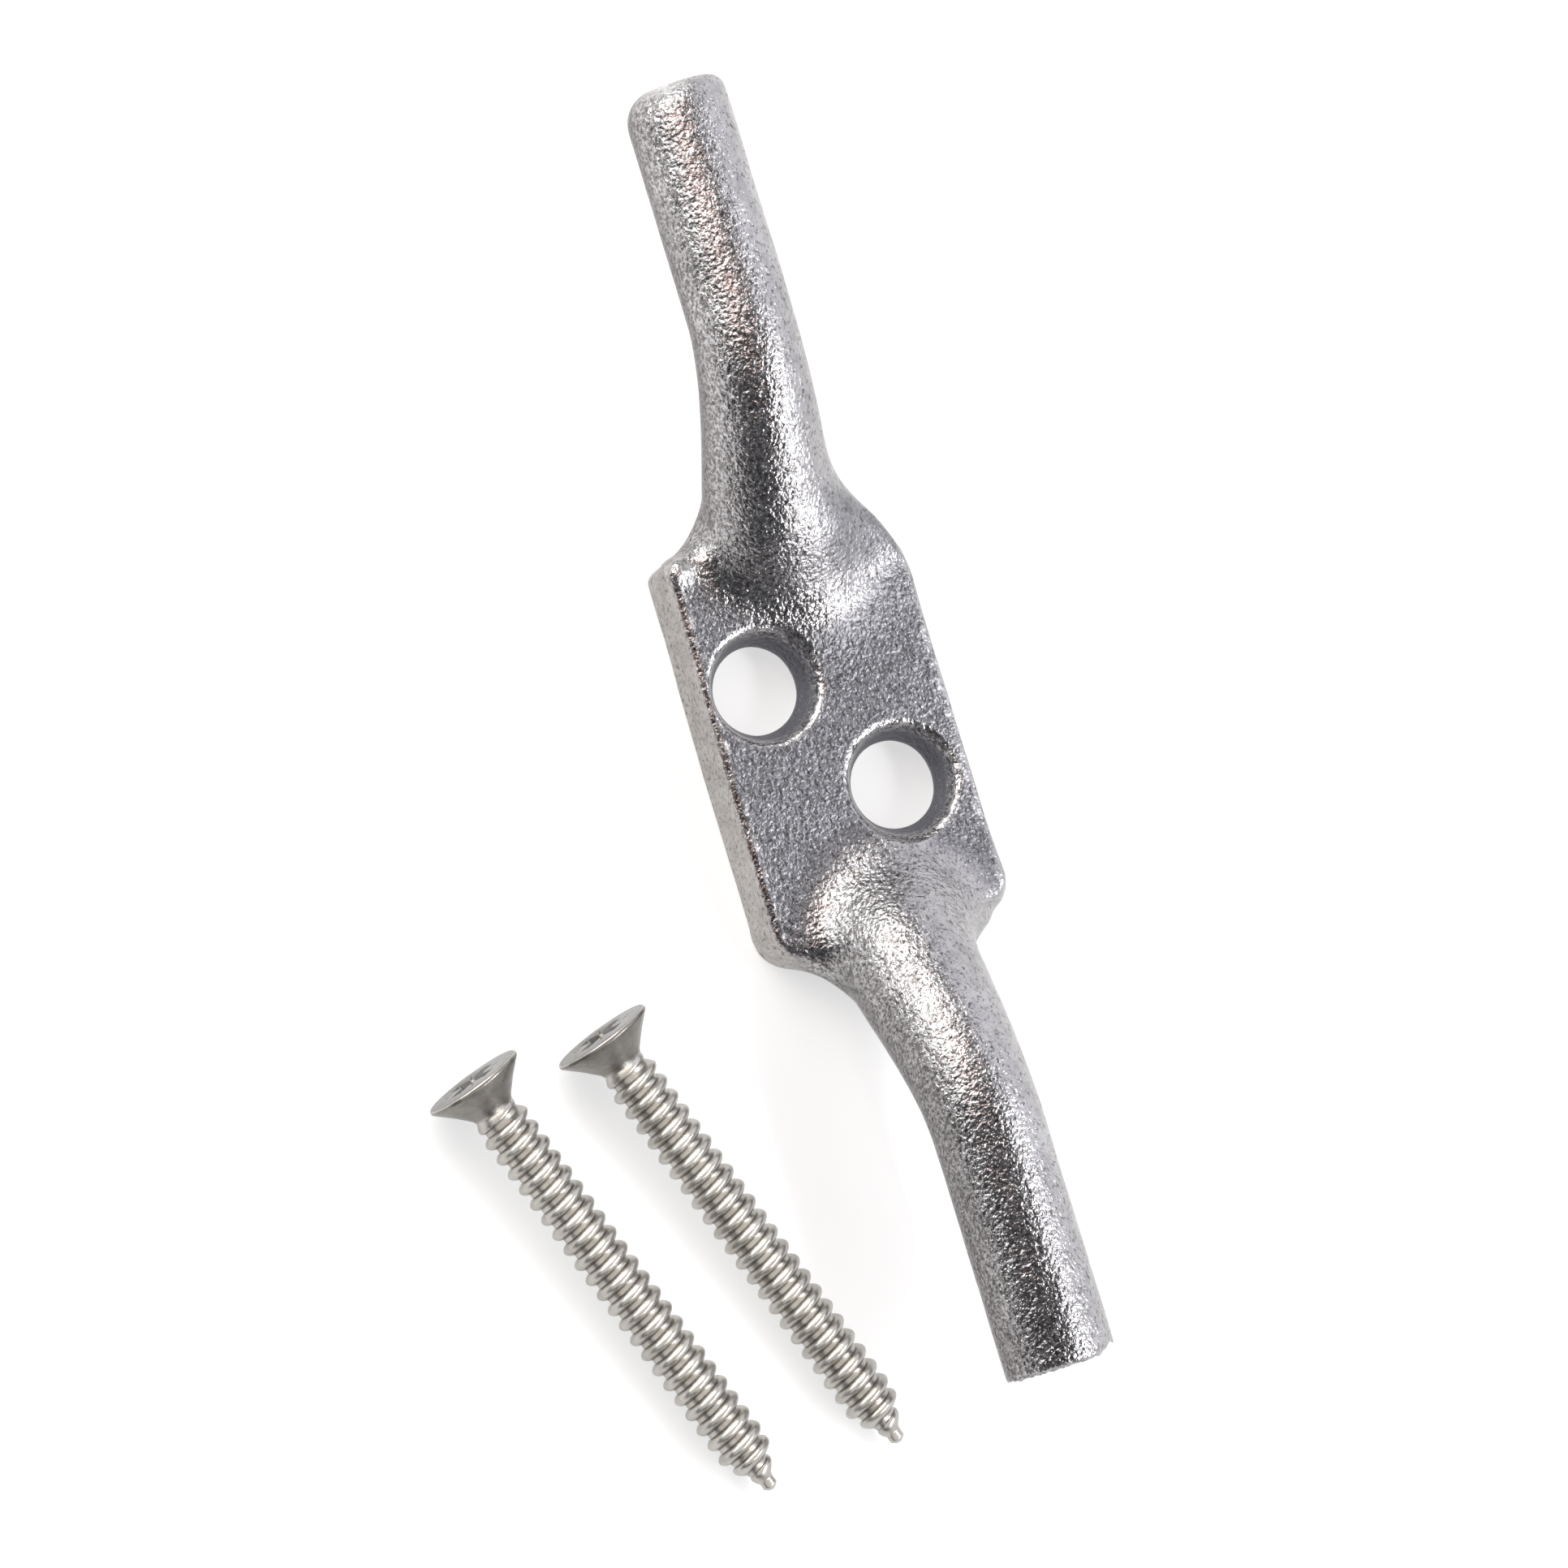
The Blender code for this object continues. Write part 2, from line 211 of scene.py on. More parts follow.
# ---------------------------------------------------------------- the casting's form
def horn_axis(s):
    """Height of the horns' axis at a distance from the middle, and the cosine of its slope."""
    u = (s - RISE_START) / (RISE_END - RISE_START)
    height = ROOT_HEIGHT + (AXIS_HEIGHT - ROOT_HEIGHT) * ease(u)
    steepness = np.where((u > 0.0) & (u < 1.0), 6.0 * u * (1.0 - u), 0.0)
    slope = (AXIS_HEIGHT - ROOT_HEIGHT) / (RISE_END - RISE_START) * steepness
    return height, 1.0 / np.sqrt(1.0 + slope**2)


def fillet_across(sizes, west, across):
    """The fillet at a place across the plate, from its sizes at the four corners."""
    domed = sizes[0] + (sizes[1] - sizes[0]) * across
    cut = sizes[2] + (sizes[3] - sizes[2]) * across
    return np.where(west, domed, cut)


def rounded_corner(a, b, radius):
    """Distance to the rounded corner between two walls, from the distances past where their curve begins."""
    return np.hypot(np.maximum(a, 0.0), np.maximum(b, 0.0)) + np.minimum(np.maximum(a, b), 0.0) - radius


def casting_field(x, y, z):
    """A drafted plate filleted into two rising round horns, below 0 inside them."""
    s = np.abs(x)
    west, south = x < 0.0, y < 0.0
    across = ease((y + FILLET_CHANGE) / (2 * FILLET_CHANGE))

    corner = np.where(west & south, CORNERS[0], CORNERS[1])
    corner = np.where(west, corner, np.where(south, CORNERS[2], CORNERS[3]))
    drawn_in = np.where(south, SKEW * np.maximum(-x, 0.0), 0.0)
    width = HALF_WIDTH - DRAFT * np.clip(z, 0.0, THICKNESS) - drawn_in
    plan = rounded_corner(s - (HALF_LENGTH - corner), np.abs(y - SHIFT) - (width - corner), corner)
    web = np.where(west, WEBS[0], WEBS[1]) * across * ease((s - WEB_START) / (HALF_LENGTH - WEB_START))
    plate = rounded_corner(plan + EDGE_RADIUS, z - (THICKNESS + web - EDGE_RADIUS), EDGE_RADIUS)

    height, lean = horn_axis(s)
    tip = np.where(west, DOMED_RADIUS, CUT_RADIUS)
    radius = tip + (ROOT_RADIUS - tip) * (1.0 - ease((s - TAPER_START) / (RISE_END - TAPER_START)))
    back = np.maximum(INNER_END - s, 0.0)
    horn = np.sqrt(y**2 + ((z - height) * lean) ** 2 + back**2) - radius

    fillet_change_height = 0.6 * THICKNESS
    low = fillet_across(FILLETS, west, across)
    high = fillet_across(FACE_FILLETS, west, across)
    fillet = low + (high - low) * ease((z - fillet_change_height) / fillet_change_height)
    h = np.maximum(fillet - np.abs(plate - horn), 0.0) / fillet
    return np.maximum(np.minimum(plate, horn) - h * h * fillet * 0.25, -z)


def stations():
    """Places of the casting's sections along X, closest together where the plate meets the horns."""
    near, far = HALF_LENGTH - 3, HALF_LENGTH + 2
    inner = np.concatenate([np.linspace(0, near, 20)[:-1], np.linspace(near, far, 60)[:-1],
                            np.linspace(far, RISE_END, 50)[:-1]])
    rounding = np.sin(np.linspace(0.0, math.pi / 2, 14))

    def side(tip, length):
        straight = np.linspace(RISE_END, tip - length, 30)[:-1]
        return np.concatenate([inner, straight, tip - length * (1 - rounding)])

    return np.concatenate([-side(DOMED_END, DOME_SOUTH)[::-1], side(CUT_END, CUT_EDGE)[1:]])


def end_inset(where, rays):
    """How far the rounding of the ends draws the surface in."""
    left = np.where(where < 0.0, DOMED_END + where, CUT_END - where)[:, None]
    dome = DOME_SOUTH + (DOME_NORTH - DOME_SOUTH) * ease((np.cos(rays) + 1) / 2)
    length = np.where(where[:, None] < 0.0, dome, CUT_EDGE)
    u = np.clip(1.0 - left / length, 0.0, 1.0)
    return length * (1.0 - np.sqrt(1.0 - u * u))


def casting_loft():
    """The casting lofted finely along X, without its holes."""
    where = stations()
    s = np.abs(where)
    # Rays fan out flat inside the plate and evenly inside the horns, from a middle that follows both
    plate_end, horn_start = 10.0, HALF_LENGTH + 6.0
    blend = ease((s - plate_end) / (horn_start - plate_end))
    middle = (THICKNESS / 2 * (1 - blend) + horn_axis(s)[0] * blend)[:, None]
    even = np.linspace(0, math.tau, AROUND, endpoint=False)
    flat = np.unwrap(np.arctan2(np.sin(even) * (THICKNESS / 2) * 1.6, np.cos(even) * HALF_WIDTH))
    rays = flat[None, :] * (1 - blend[:, None]) + even[None, :] * blend[:, None]

    x = np.repeat(where[:, None], AROUND, axis=1)
    low, high = np.zeros_like(x), np.full_like(x, LONGEST_RAY)
    for _ in range(HALVINGS):
        half = (low + high) / 2
        inside = casting_field(x, half * np.cos(rays), middle + half * np.sin(rays)) < 0
        low, high = np.where(inside, half, low), np.where(inside, high, half)
    reach = (low + high) / 2 - end_inset(where, rays)
    grid = np.stack([x, reach * np.cos(rays), middle + reach * np.sin(rays)], axis=-1)

    faces = []
    for i in range(0, (len(where) - 1) * AROUND, AROUND):
        for j in range(AROUND):
            k = (j + 1) % AROUND
            faces.append((i + j, i + AROUND + j, i + AROUND + k, i + k))
    points = grid.reshape(-1, 3).tolist()
    faces.append(tuple(range(AROUND)))
    faces.append(tuple(range(len(points) - 1, len(points) - AROUND - 1, -1)))
    loft = bpy.data.meshes.new("loft")
    loft.from_pydata(points, [], faces)
    shape = bmesh.new()
    shape.from_mesh(loft)
    return finished("cleat", shape)


def hole_cutter(name, side):
    mouth, throat, back = HOLE_RADII
    slope = (mouth - throat) / (THICKNESS - THROAT_HEIGHT)
    profile = []
    for rise in (4.0, 0.0, -0.12, -0.30, -0.60, -1.10):
        rounding = MOUTH_ROUND * math.exp(min(rise, 0.0) / MOUTH_ROUND)
        profile.append((mouth + slope * rise + rounding, THICKNESS + rise))
    profile += [(throat, THROAT_HEIGHT), (back, 0.0), (back + 0.35, -1.0)]
    cutter = add(name, ring_solid(name, profile, 96))
    cutter.location = (side * HOLE_PLACE[0], side * HOLE_PLACE[1], 0)
    return cutter


def smooth_casting():
    """The casting with its holes, as an even fine mesh."""
    obj = add("cleat_rough", casting_loft())
    cutters = [hole_cutter("hole_a", -1), hole_cutter("hole_b", 1)]
    for cutter in cutters:
        cut_away(obj, cutter)
    even = obj.modifiers.new("even", "REMESH")
    even.mode = "VOXEL"
    even.voxel_size = VOXEL
    even.use_smooth_shade = True
    soften = obj.modifiers.new("soften", "SMOOTH")
    soften.factor = 0.5
    soften.iterations = 2
    mesh = evaluated(obj)
    for cutter in cutters:
        bpy.data.objects.remove(cutter, do_unlink=True)
    return mesh


# ---------------------------------------------------------------- the casting's relief and marks
class Surface:
    """The smooth casting's points, and the places on it that its relief and its marks share."""

    def __init__(self, points, normals):
        self.points, self.normals = points, normals
        self.x, self.y, self.z = points.T
        self.s = np.abs(self.x)
        self.up = normals[:, 2]
        self.south_edge = HALF_WIDTH - SHIFT - DRAFT * THICKNESS - SKEW * np.maximum(-self.x, 0.0)
        self.north_edge = HALF_WIDTH + SHIFT - DRAFT * THICKNESS
        # distance in from the nearer long edge, and where the long edges of the face are
        self.inward = np.where(self.y < 0.0, self.south_edge + self.y, self.north_edge - self.y)
        self.near_face = ease((self.z - (THICKNESS - 0.5)) / 0.3)
        self.along = ease((HALF_LENGTH + 0.3 - self.s) / 1.0) * self.near_face
        self.broken = np.clip(0.5 + 0.9 * fbm(points, 1.6, 4.0), 0.0, 1.2)
        self.torn, self.in_hole = self.holes()

    def holes(self):
        """How far each point belongs to a torn rim, and how far to the inside of a hole."""
        torn, in_hole = np.zeros(len(self.points)), np.zeros(len(self.points))
        for side in (-1.0, 1.0):
            dx, dy = self.x - side * HOLE_PLACE[0], self.y - side * HOLE_PLACE[1]
            r = np.hypot(dx, dy)
            rim = bell(r - HOLE_RADII[0] - 0.05, 0.22) * self.near_face
            facing = [(a * dx + b * dy) / np.maximum(r, 0.1) for a, b in TORN_SIDES]
            rim *= np.clip((np.maximum(*facing) - 0.45) / 0.35, 0.0, 1.0)
            rim *= np.clip(0.6 + 1.2 * fbm(self.points, 0.9, 5.0 + side), 0.0, 1.3)
            torn = np.maximum(torn, rim)
            below_mouth = self.z < THICKNESS - 0.15
            in_hole = np.maximum(in_hole, ease((HOLE_RADII[0] - 0.10 - r) / 0.5) * below_mouth)
        return torn, in_hole


def corner_spot(surface, in_x, in_y, spread):
    """A round spot a little way in from the sharp corner next to the domed horn."""
    dx = surface.x + HALF_LENGTH - in_x
    dy = surface.y + surface.south_edge - in_y
    return np.exp(-(dx**2 + dy**2) / spread)


def relief(surface):
    """How far each point moves out along its normal."""
    x, y, z = surface.x, surface.y, surface.z
    under = ease((0.35 - z) / 0.3)
    lump = BROAD_LUMPS * fbm(surface.points, 5.0, 1.0) + FINE_LUMPS * fbm(surface.points, 0.8, 2.0)
    lump *= 1.0 - under
    # a low, broken lip along the two long edges of the plate's face
    on_edge = bell(surface.inward - 0.40, 0.20) * surface.along
    lump += on_edge * LIP_HEIGHT * surface.broken * np.where(y < 0.0, 1.0, 0.6)
    # the lip is thickest at the corner next to the domed horn, and the opposite corner has a notch beyond it
    lump += KNOB_HEIGHT * corner_spot(surface, 0.7, 0.7, 0.9) * (z > THICKNESS - 1.5)
    notch = bell(x - HALF_LENGTH - 0.5, 0.55) * bell(y - surface.north_edge + 1.9, 1.2)
    lump -= NOTCH_DEPTH * notch * ease((z - 1.0) / 2.0)
    return lump + surface.torn * RIM_HEIGHT


def roughen(surface):
    """The points with their relief, the rough face of the cut end and the chip out of its +Y side."""
    x, y = surface.x, surface.y
    points = surface.points
    moved = points + surface.normals * relief(surface)[:, None]
    cut_face = ease((x - (CUT_END - 0.25)) / 0.2) * (surface.normals[:, 0] > 0.6)
    set_back, broad, fine = CUT_FACE_RELIEF
    moved[:, 0] -= cut_face * (set_back + broad * fbm(points, 1.1, 8.0) + fine * fbm(points, 0.45, 9.0))
    chip = ease((y - 1.2) / 2.6) * ease((x - CUT_END + 1.4) / 1.4)
    moved[:, 0] -= CHIP_DEPTH * chip * (0.8 + 0.5 * fbm(points, 1.5, 10.0))
    moved[:, 2] = np.maximum(moved[:, 2], 0.0)
    return moved


def painted_highlights(surface):
    """Painted highlights, as a paler metal colour: on the torn rims, at the knob, and in glints along the
    edges and on the domed tip.
    """
    glint = np.clip(1.2 * fbm(surface.points, 0.6, 12.0), 0.0, 1.0)
    knob = corner_spot(surface, 0.9, 1.1, 1.8) * (surface.up > 0.3) * (0.3 + 0.7 * glint)
    edge = bell(surface.inward - 0.62, 0.20) * surface.along * glint
    tip = ease((DOMED_END - 0.2 + surface.x) / -1.6 + 1.0) * bell(surface.y + 1.5, 1.4) * (surface.up > 0.1)
    tip *= 0.4 + 0.6 * glint
    spots = np.maximum(np.maximum(surface.torn, knob), np.maximum(edge, tip))
    return np.clip(spots, 0.0, 1.0)


def marks(surface):
    """What each mark is worth at each point, by the names that the zinc material reads."""
    x, y, z, s, up = surface.x, surface.y, surface.z, surface.s, surface.up
    outside = 1.0 - surface.in_hole
    level = ease((up - 0.93) / 0.06) * ease((THICKNESS + 1.2 - z) / 0.8) * ease((z - THICKNESS + 0.8) / 0.4)
    # the web on the +Y side by the domed horn takes the face's darker tone as painted shade that dims its
    # highlight
    web = 0.75 * ease((y - 1.0) / 3.0) * ease((-x - WEB_START) / 2.5) * ease((HALF_LENGTH + 3.5 + x) / 3.0)
    web *= ease((up - 0.35) / 0.3)
    line = bell(surface.inward - 0.22, 0.13) * surface.along * (y < 0.0)
    wall = ease((0.5 - up) / 0.3) * ease((THICKNESS + 0.3 - z) / 0.5) * ease((HALF_LENGTH + 1.5 - s) / 1.5)
    # painted shade on the sides and undersides that turn away from above, outside the holes; on the +Y side
    # only along the horns
    painted_skirt_shade = ease((0.35 - up) / 0.5) * (1.0 - wall) * outside
    return {
        "dull_face_and_web_shade": np.maximum(level, web),
        # painted shade inside the holes
        "hole": surface.in_hole,
        "lip": np.clip(line * (0.45 + 0.6 * surface.broken), 0.0, 1.0),
        "wall": wall * outside,
        # speckle of painted shade and glints on the sides facing -Y and upwards, left off the +Y-facing
        # flanks
        "painted_side_speckle": (1.0 - ease((surface.normals[:, 1] + 0.1) / 0.25)) * (1.0 - level) * (1.0 - wall),
        "painted_skirt_shade": painted_skirt_shade * np.where(y > 0.0, ease((s - HALF_LENGTH) / 7.0), 1.0),
        # painted highlights
        "bright": painted_highlights(surface),
    }


def make_casting():
    mesh = smooth_casting()
    surface = Surface(points_of(mesh), normals_of(mesh))
    move_points(mesh, roughen(surface) * MM)
    mesh.shade_smooth()
    for name, values in marks(surface).items():
        put(mesh, name, values)
    return add("cleat_body", mesh)


# ---------------------------------------------------------------- screws, in millimetres
SCREW_LENGTH = 38.0
HEAD_RADIUS = 3.9
HEAD_RIM = 0.30
HEAD_DEPTH = 2.6
HEAD_SEGMENTS = 96
NECK_RADIUS = 1.65
NECK_LENGTH = 1.6
CORE_RADIUS = 1.54
CREST_RADIUS = 2.10
PITCH = 1.4
POINT_LENGTH = 2.7
STUB_RADIUS = 0.58
STUB_LENGTH = 0.9
STUB_ROUND = 0.35
THREAD_START = 3.0
THREAD_END = 37.0

# Half the width of the thread's round top and of its whole foot
CREST_HALF = 0.50
FOOT_HALF = 0.66

# Cutters of the cross recess: half length at the top and at the bottom, half width, depth, turns in degrees
RECESS = (
    (2.15, 1.25, 0.52, 1.80, (0, 90)),
    (2.35, 2.20, 0.10, 0.16, (45, 135)),
    (0.95, 0.70, 0.95, 1.50, (45,)),
)

# Place on the floor of the middle of each screw's head, and its turns on the floor and about itself
SCREWS = {"screw_1": (17.4, -35.1), "screw_2": (16.8, -24.4)}
HEADING = 21.6
ROLL = 23.0


def core_radius(depth):
    """Radius of the plain core at a depth below the top of the head, arrays allowed."""
    taper = np.clip((SCREW_LENGTH - STUB_LENGTH - depth) / POINT_LENGTH, 0.0, 1.0)
    r = STUB_RADIUS + (CORE_RADIUS - STUB_RADIUS) * taper
    neck = np.clip((depth - HEAD_DEPTH) / NECK_LENGTH, 0.0, 1.0)
    return np.where(depth < HEAD_DEPTH + NECK_LENGTH, NECK_RADIUS + (r - NECK_RADIUS) * neck, r)


def thread(depth, phase):
    """Radius of the shank and how far each point is in the painted shadow line at the foot of the thread."""
    past_crest = (phase - 0.5) * PITCH
    away = np.abs(past_crest)
    lobe = np.sqrt(np.clip(1.0 - (away / CREST_HALF) ** 2, 0.0, 1.0))
    ridge = 0.75 * lobe + 0.25 * (1.0 - ease(away / FOOT_HALF))
    start = np.clip((depth - THREAD_START) / 1.2 + 0.15, 0.0, 1.0)
    end = np.clip((THREAD_END - depth) / 2.4 + 0.18, 0.0, 1.0) * (depth < THREAD_END + 0.1)
    r = core_radius(depth) + (CREST_RADIUS - CORE_RADIUS) * ridge * start * end
    left = SCREW_LENGTH - depth
    rounding = np.sqrt(np.clip(left / STUB_ROUND, 0.0, 1.0))
    r = np.where(left < STUB_ROUND, rounding * np.minimum(r, STUB_RADIUS), r)
    return r, bell(past_crest - 0.52, 0.07) * start * end


def shank_mesh():
    """The threaded shank on a grid that follows the helix."""
    per_turn, rows = ((72, 30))
    first, last = HEAD_DEPTH - 0.5, SCREW_LENGTH
    total = (int(math.ceil((last - first) / PITCH)) + 1) * rows
    i = np.arange(total + 1)[:, None]
    j = np.arange(per_turn)[None, :]
    depth = np.clip(first - PITCH + PITCH * (i / rows + j / per_turn), first, last)
    angle = -math.tau * j / per_turn + 0 * i
    r, painted_thread_shadow = thread(depth, (i / rows) % 1.0 + 0 * j)
    points = np.stack([r * np.cos(angle), r * np.sin(angle), -depth], axis=-1).reshape(-1, 3)

    def index(a, b):
        """A point of the grid, which goes on a turn further down after the last column."""
        return (a + rows) * per_turn if b == per_turn else a * per_turn + b

    faces = []
    for a in range(total):
        for b in range(per_turn):
            if b < per_turn - 1 or a + 1 + rows <= total:
                faces.append((index(a, b), index(a + 1, b), index(a + 1, b + 1), index(a, b + 1)))
    mesh = bpy.data.meshes.new("helix")
    mesh.from_pydata(points.tolist(), [], faces)
    put(mesh, "painted_thread_shadow", painted_thread_shadow.reshape(-1))
    shape = bmesh.new()
    shape.from_mesh(mesh)
    bmesh.ops.remove_doubles(shape, verts=list(shape.verts), dist=0.002)
    return finished("shank", shape)


def recess_cutter(half_length, foot, half_width, depth):
    """A bar that narrows downwards, reaching a little over the head."""
    over = 0.4
    top_length = half_length + (half_length - foot) / depth * over
    corners = ((-1, -1), (1, -1), (1, 1), (-1, 1))
    shape = bmesh.new()
    upper = [shape.verts.new((a * top_length, b * half_width * 1.06, over)) for a, b in corners]
    lower = [shape.verts.new((a * foot, b * half_width * 0.80, -depth)) for a, b in corners]
    shape.faces.new(upper)
    shape.faces.new(lower[::-1])
    for i in range(4):
        k = (i + 1) % 4
        shape.faces.new((upper[i], lower[i], lower[k], upper[k]))
    return finished("recess_cutter", shape)


def head_mesh():
    """The countersunk head with its cross recess, top at the origin."""
    cone = HEAD_RADIUS - NECK_RADIUS
    profile = [
        (HEAD_RADIUS - 0.30, 0.0),
        (HEAD_RADIUS - 0.14, -0.015),
        (HEAD_RADIUS - 0.04, -0.06),
        (HEAD_RADIUS, -0.14),
        (HEAD_RADIUS, -HEAD_RIM),
        (HEAD_RADIUS - 0.03, -HEAD_RIM - 0.06),
        (NECK_RADIUS + cone * 0.50, -HEAD_RIM - (HEAD_DEPTH - HEAD_RIM) * 0.48),
        (NECK_RADIUS + cone * 0.14, -HEAD_DEPTH + 0.32),
        (NECK_RADIUS + cone * 0.04, -HEAD_DEPTH + 0.05),
        (NECK_RADIUS - 0.02, -HEAD_DEPTH - 0.25),
    ]
    head = add("head", ring_solid("head", profile, HEAD_SEGMENTS))
    cutters = []
    for *sizes, turns in RECESS:
        for turn in turns:
            cutter = add("cutter", recess_cutter(*sizes))
            cutter.rotation_euler = (0, 0, math.radians(turn))
            cut_away(head, cutter)
            cutters.append(cutter)
    soft = head.modifiers.new("soft", "BEVEL")
    soft.width = 0.05
    soft.segments = 2
    soft.limit_method = "ANGLE"
    soft.angle_limit = math.radians(35)
    soft.use_clamp_overlap = True
    mesh = evaluated(head)
    for cutter in cutters:
        bpy.data.objects.remove(cutter, do_unlink=True)
    return mesh


def screw_template():
    """One screw standing on its point, head top at the origin, in mm."""
    head = head_mesh()
    put(head, "painted_thread_shadow", np.zeros(len(head.vertices)))
    shape = bmesh.new()
    shape.from_mesh(shank_mesh())
    shape.from_mesh(head)
    mesh = bpy.data.meshes.new("screw")
    shape.to_mesh(mesh)
    shape.free()
    x, y, z = points_of(mesh).T
    r = np.hypot(x, y)
    put(mesh, "face", (z > -0.05) * (r < HEAD_RADIUS - 0.1) * 1.0)
    # the cross recess, which the steel darkens as painted shade
    put(mesh, "recess", ease((-0.10 - z) / 0.5) * (z > -1.9) * (r < 2.4) * 1.0)
    put(mesh, "cone", (z > -HEAD_DEPTH) * (r > core_radius(-z) + 0.02) * (z < -0.10) * 1.0)
    return mesh


def lying(points):
    """The turn that lays a screw with its point towards +X and both its head and its shank on the floor."""
    spin = Matrix.Rotation(math.radians(ROLL), 4, "Z")
    head = points[:, 2] > -HEAD_DEPTH
    low, high = math.radians(80.0), math.radians(95.0)
    for _ in range(40):
        tip = (low + high) / 2
        turn = np.array(Matrix.Rotation(-tip, 4, "Y") @ spin)[:3, :3]
        heights = points @ turn.T[:, 2]
        if heights[head].min() < heights[~head].min():
            high = tip
        else:
            low = tip
    return Matrix.Rotation(-(low + high) / 2, 4, "Y") @ spin


def make_screws():
    """Each screw's name and object."""
    template = screw_template()
    points = points_of(template)
    turn = Matrix.Rotation(math.radians(HEADING), 4, "Z") @ lying(points)
    turned = points @ np.array(turn)[:3, :3].T
    made = []
    for name, (x, y) in SCREWS.items():
        mesh = template.copy()
        move_points(mesh, (turned + np.array([x, y, -turned[:, 2].min()])) * MM)
        mesh.shade_smooth()
        mesh.set_sharp_from_angle(angle=math.radians(38))
        made.append((name, add(name + "_steel", mesh)))
    return made


# ---------------------------------------------------------------- materials
class Nodes:
    """Short calls for building a node tree."""

    def __init__(self, name):
        self.material = bpy.data.materials.new(name)
        self.material.use_nodes = True
        self.tree = self.material.node_tree
        self.shader = self.tree.nodes["Principled BSDF"]

    def node(self, kind, **values):
        made = self.tree.nodes.new(kind)
        for key, value in values.items():
            setattr(made, key, value)
        return made

    def link(self, a, b):
        self.tree.links.new(a, b)

    def place(self):
        return self.node("ShaderNodeTexCoord").outputs["Object"]

    def mark(self, name):
        return self.node("ShaderNodeAttribute", attribute_name=name).outputs["Fac"]

    def noise(self, vector, scale, detail, rough):
        made = self.node("ShaderNodeTexNoise")
        made.inputs["Scale"].default_value = scale
        made.inputs["Detail"].default_value = detail
        made.inputs["Roughness"].default_value = rough
        self.link(vector, made.inputs["Vector"])
        return made.outputs["Fac"]

    def ramp(self, fac, *stops):
        """A colour ramp through two (place, colour) stops."""
        made = self.node("ShaderNodeValToRGB")
        for element, (at, colour) in zip(made.color_ramp.elements, stops):
            element.position = at
            element.color = (*colour, 1.0)
        self.link(fac, made.inputs["Fac"])
        return made.outputs["Color"]

    def mix(self, fac, a, b, mode="MIX"):
        made = self.node("ShaderNodeMix", data_type="RGBA", blend_type=mode)
        for socket, value in ((made.inputs["Factor"], fac), (made.inputs[6], a), (made.inputs[7], b)):
            if hasattr(value, "is_output"):
                self.link(value, socket)
            elif isinstance(value, tuple):
                socket.default_value = (*value, 1.0)
            else:
                socket.default_value = value
        return made.outputs[2]

    def tint(self, mask, colour, by):
        """The colour, multiplied by another where the mask is 1."""
        return self.mix(mask, colour, self.mix(1.0, colour, by, "MULTIPLY"))

    def bump(self, height, distance, strength=1.0, normal=None):
        made = self.node("ShaderNodeBump")
        made.inputs["Strength"].default_value = strength
        made.inputs["Distance"].default_value = distance
        self.link(height, made.inputs["Height"])
        if normal is not None:
            self.link(normal, made.inputs["Normal"])
        return made.outputs["Normal"]

    def metal(self, colour, rough, normal):
        """Sets the shader to a metal with these outputs, and gives the material."""
        self.link(colour, self.shader.inputs["Base Color"])
        self.shader.inputs["Metallic"].default_value = 1.0
        self.link(rough, self.shader.inputs["Roughness"])
        self.link(normal, self.shader.inputs["Normal"])
        return self.material


def grey(value):
    return (value, value, value)


